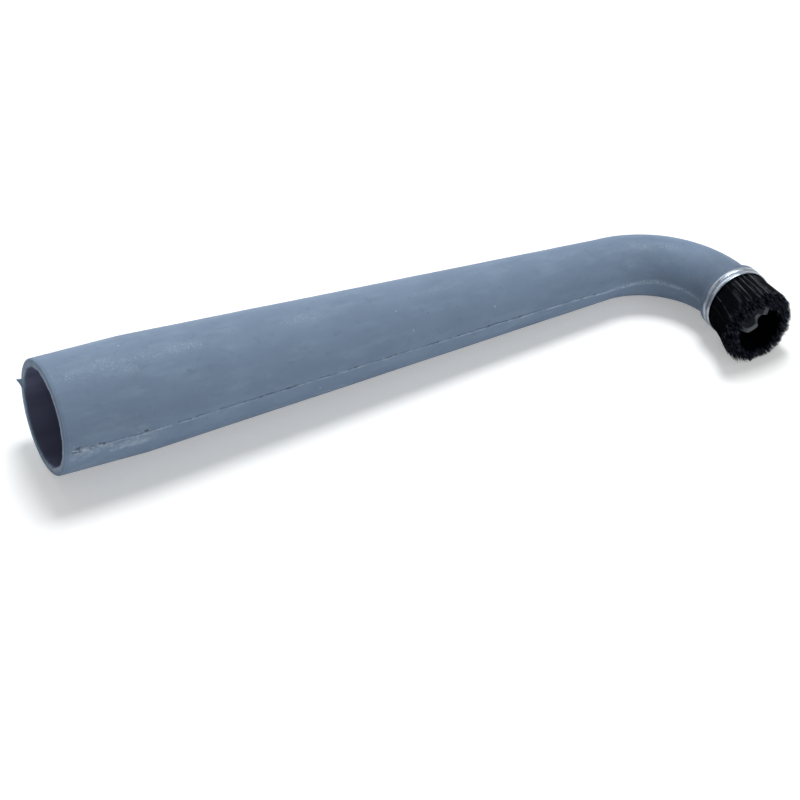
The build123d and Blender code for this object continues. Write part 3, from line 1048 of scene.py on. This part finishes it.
def filament_lines(shares):
    """Every filament's line as places at the shares of its length, in the brush's frame."""
    draws = np.random.default_rng(SEED + 20)
    turn = draws.uniform(0, 2 * math.pi, FILAMENT_COUNT)
    depth = draws.uniform(0, 1, FILAMENT_COUNT)
    # Filaments with a painted glint lie in the outer rows on the upper side
    depth[:GLINT_COUNT] = GLINT_DEPTH + (1 - GLINT_DEPTH) * depth[:GLINT_COUNT]
    turn[:GLINT_COUNT] = draws.normal(-math.pi / 2, GLINT_SPREAD, GLINT_COUNT) % (2 * math.pi)
    root = ROOT_INSIDE + (ROOT_OUTSIDE - ROOT_INSIDE) * depth
    clump_turn = np.sort(draws.uniform(0, 2 * math.pi, CLUMP_COUNT))
    clump_short = draws.uniform(0, 1, CLUMP_COUNT) ** 2 * CLUMP_RAGGED
    offset = (turn[:, None] - clump_turn + math.pi) % (2 * math.pi) - math.pi
    clump = np.abs(offset).argmin(axis=1)
    pull = -CLUMP_PULL * offset[np.arange(FILAMENT_COUNT), clump]
    flare = INNER_FLARE + (OUTER_FLARE - INNER_FLARE) * depth
    flare = flare + draws.normal(0, FLARE_SPREAD, FILAMENT_COUNT)
    sway = draws.normal(0, SWAY_SPREAD, FILAMENT_COUNT) + pull
    short = np.abs(draws.normal(0, TIP_RAGGED, FILAMENT_COUNT)) + clump_short[clump]
    stray = np.arange(FILAMENT_COUNT) >= FILAMENT_COUNT - STRAY_COUNT
    stray_flare = OUTER_FLARE + draws.normal(STRAY_FLARE, STRAY_SPREAD, FILAMENT_COUNT)
    flare = np.where(stray, stray_flare, flare)
    sway = np.where(stray, draws.normal(0, STRAY_SWAY, FILAMENT_COUNT), sway)
    length = CHANNEL_WIDTH + BRISTLE_LENGTH - ROOT_HEIGHT - short
    share = shares[None, :]
    bent = share**FLARE_CURVE
    radius = root[:, None] + flare[:, None] * bent
    angle = turn[:, None] + sway[:, None] * share**SWAY_CURVE
    lines = np.empty((FILAMENT_COUNT, len(shares), 3))
    lean = np.array(INNER_LEAN) + (np.array(OUTER_LEAN) - np.array(INNER_LEAN)) * depth[:, None]
    lines[..., 0] = radius * np.cos(angle) + lean[:, :1] * bent
    lines[..., 1] = radius * np.sin(angle) + lean[:, 1:] * bent
    lines[..., 2] = RING_BACK + ROOT_HEIGHT + length[:, None] * share
    return lines


def filament_places(shape):
    """The vertices of every copy of the filament's shape, laid down in metres and kept off the floor."""
    shares, part = np.unique(np.round(shape[:, 2], 4), return_inverse=True)
    places = filament_lines(shares)[:, part, :]
    thickness = np.where(np.arange(FILAMENT_COUNT) < GLINT_COUNT, GLINT_THICKNESS, 1)[:, None]
    places[..., 0] += thickness * shape[:, 0]
    places[..., 1] += thickness * shape[:, 1]
    place = np.array(LAID_DOWN @ AT_BRUSH)
    places = places.reshape(-1, 3) @ place[:3, :3].T + place[:3, 3]
    places[:, 2] = np.maximum(places[:, 2], FLOOR_GAP * MM)
    return places


def filament_finishes(shape, faces):
    """The number of each face's finish: black, a painted glint on a few filaments, and a painted highlight
    on some cut tips.
    """
    black, wear_and_glint, cut = range(3)
    lowest = np.array([min(shape[index, 2] for index in face) for face in faces])
    is_tip = lowest > FILAMENT_CUTS[-1] - FINE_TOLERANCE
    has_tip_glint = np.random.default_rng(SEED + 30).uniform(size=FILAMENT_COUNT) < TIP_GLINT_SHARE
    # Painted highlight on some cut tips
    finishes = np.where(has_tip_glint[:, None] & is_tip[None, :], cut, black)
    # Painted glint
    finishes[:GLINT_COUNT] = wear_and_glint
    return finishes.ravel().astype(np.int32)


def bristles():
    """The brush: thousands of copies of one filament, drawn together in clumps and a few of them astray."""
    piece = one_filament()
    shape = vertex_places(piece)
    faces = [tuple(face.vertices) for face in piece.data.polygons]
    all_faces = []
    for copy in range(FILAMENT_COUNT):
        first = copy * len(shape)
        all_faces += [tuple(first + index for index in face) for face in faces]
    brush = bpy.data.meshes.new("bristles")
    brush.from_pydata(filament_places(shape).tolist(), [], all_faces)
    piece.data = brush
    piece.name = "loose_bristles"
    bpy.ops.object.shade_smooth()
    piece.data.materials.append(filament_finish("black_filament", *BLACK_FILAMENT))
    # Finishes with a painted glint on a few filaments and a painted highlight on some tips
    piece.data.materials.append(filament_finish("glinting_filament", *GLINT_FILAMENT))
    piece.data.materials.append(filament_finish("tip_glint", *TIP_GLINT))
    piece.data.polygons.foreach_set("material_index", filament_finishes(shape, faces))
    hand_over(piece, Matrix.Identity(4), "bristles")


def filament_finish(name, colour, gloss, roughness):
    """Plain filament of a colour, gloss and roughness."""
    material, _, shader = new_finish(name)
    shader.inputs["Base Color"].default_value = (*colour, 1)
    shader.inputs["Specular IOR Level"].default_value = gloss
    shader.inputs["Roughness"].default_value = roughness
    return material


def wire_finish():
    """Bare drawn wire."""
    material, _, shader = new_finish("drawn_wire")
    shader.inputs["Base Color"].default_value = (*WIRE, 1)
    shader.inputs["Metallic"].default_value = 1
    shader.inputs["Roughness"].default_value = WIRE_ROUGHNESS
    return material


def core_wire():
    """The wire ring in the fold of the filaments, as it comes from the frame."""
    wire = frame["nodes"]["core_wire"]
    wire.data.materials.clear()
    wire.data.materials.append(wire_finish())


def shows_background(tree):
    """1 for rays that show the background: from the camera, in reflections and through clear things."""
    rays = tree.nodes.new("ShaderNodeLightPath")
    result = rays.outputs["Is Camera Ray"]
    for name in ("Is Glossy Ray", "Is Transmission Ray"):
        either = tree.nodes.new("ShaderNodeMath")
        either.operation = "MAXIMUM"
        tree.links.new(result, either.inputs[0])
        tree.links.new(rays.outputs[name], either.inputs[1])
        result = either.outputs[0]
    return result


def floor_finish():
    """Pale floor with the nozzle's shadow, turning white further out to the camera and in reflections."""
    material = bpy.data.materials.new("pale_floor")
    material.use_nodes = True
    tree = material.node_tree
    tree.nodes.clear()
    output = tree.nodes.new("ShaderNodeOutputMaterial")
    matte = tree.nodes.new("ShaderNodeBsdfDiffuse")
    matte.inputs["Color"].default_value = (*FLOOR_COLOUR, 1)
    glow = tree.nodes.new("ShaderNodeEmission")
    distance = tree.nodes.new("ShaderNodeVectorMath")
    distance.operation = "LENGTH"
    tree.links.new(tree.nodes.new("ShaderNodeTexCoord").outputs["Object"], distance.inputs[0])
    whiter = ranged(tree, distance.outputs["Value"], FLOOR_SHADED, FLOOR_WHITE, FLOOR_GLOW, 1.0)
    tree.links.new(both_amounts(tree, shows_background(tree), whiter), glow.inputs["Strength"])
    both = tree.nodes.new("ShaderNodeAddShader")
    tree.links.new(matte.outputs[0], both.inputs[0])
    tree.links.new(glow.outputs[0], both.inputs[1])
    tree.links.new(both.outputs[0], output.inputs["Surface"])
    return material


def pale_floor():
    """The floor under the nozzle."""
    bpy.ops.object.select_all(action="DESELECT")
    bpy.ops.mesh.primitive_plane_add(size=FLOOR_SIZE, location=(0, 0, -FLOOR_DROP))
    floor = bpy.context.object
    floor.name = "floor"
    floor.data.materials.append(floor_finish())


def soft_box(name, place, size, energy, colour=(1, 1, 1)):
    """A round soft lamp that looks at the nozzle."""
    lamp = bpy.data.lights.new(name, "AREA")
    lamp.shape = "DISK"
    lamp.size = size
    lamp.energy = energy
    lamp.color = colour
    holder = bpy.data.objects.new(name, lamp)
    bpy.context.scene.collection.objects.link(holder)
    holder.location = place
    holder.rotation_euler = (-holder.location).to_track_quat("-Z", "Y").to_euler()


def studio_sky():
    """A sky that dims overhead and to the left as a light, and is white low down to the camera."""
    world = bpy.data.worlds.new("studio")
    bpy.context.scene.world = world
    world.use_nodes = True
    tree = world.node_tree
    tree.nodes.clear()
    output = tree.nodes.new("ShaderNodeOutputWorld")
    sky = tree.nodes.new("ShaderNodeBackground")
    sky.inputs["Color"].default_value = (1, 1, 1, 1)
    way = tree.nodes.new("ShaderNodeSeparateXYZ")
    tree.links.new(tree.nodes.new("ShaderNodeTexCoord").outputs["Generated"], way.inputs[0])
    overhead = ranged(tree, way.outputs["Z"], SKY_DIMS, SKY_DIMMED, 1.0, OVERHEAD_SHARE)
    side = ranged(tree, way.outputs["X"], -1.0, 1.0, LEFT_SHARE * SKY_LEVEL, RIGHT_SHARE * SKY_LEVEL)
    level = tree.nodes.new("ShaderNodeMapRange")
    tree.links.new(shows_background(tree), level.inputs["Value"])
    tree.links.new(side, level.inputs["To Min"])
    level.inputs["To Max"].default_value = 1.0
    strength = both_amounts(tree, overhead, level.outputs["Result"])
    tree.links.new(strength, sky.inputs["Strength"])
    tree.links.new(sky.outputs[0], output.inputs["Surface"])


def studio_light():
    """The sky, a soft key lamp, and weak lamps low in front and behind."""
    studio_sky()
    soft_box("key_lamp", KEY_PLACE, KEY_SIZE, KEY_ENERGY)
    soft_box("fill_lamp", FILL_PLACE, FILL_SIZE, FILL_ENERGY)
    soft_box("back_lamp", BACK_PLACE, BACK_SIZE, BACK_ENERGY, BACK_COLOUR)


def photo_camera():
    """The camera at the photograph's angle."""
    back = Vector(
        (
            math.sin(CAMERA_AZIMUTH) * math.cos(CAMERA_ELEVATION),
            -math.cos(CAMERA_AZIMUTH) * math.cos(CAMERA_ELEVATION),
            math.sin(CAMERA_ELEVATION),
        )
    )
    right = Vector((math.cos(CAMERA_AZIMUTH), math.sin(CAMERA_AZIMUTH), 0))
    up = back.cross(right)
    turned_right = right * math.cos(CAMERA_ROLL) + up * math.sin(CAMERA_ROLL)
    turned_up = up * math.cos(CAMERA_ROLL) - right * math.sin(CAMERA_ROLL)
    lens = bpy.data.cameras.new("camera")
    lens.sensor_width = SENSOR_WIDTH
    lens.lens = FOCAL_PIXELS / IMAGE_SIZE * SENSOR_WIDTH
    lens.clip_start = NEAR_CLIP
    holder = bpy.data.objects.new("camera", lens)
    bpy.context.scene.collection.objects.link(holder)
    eye = CAMERA_TARGET + back * CAMERA_DISTANCE
    axes = Matrix((turned_right, turned_up, back)).transposed().to_4x4()
    holder.matrix_world = Matrix.Translation(eye) @ axes
    bpy.context.scene.camera = holder


rubber_moulding()
brush_ring()
bristles()
core_wire()
pale_floor()
studio_light()
photo_camera()

bpy.context.scene.view_settings.view_transform = "Standard"
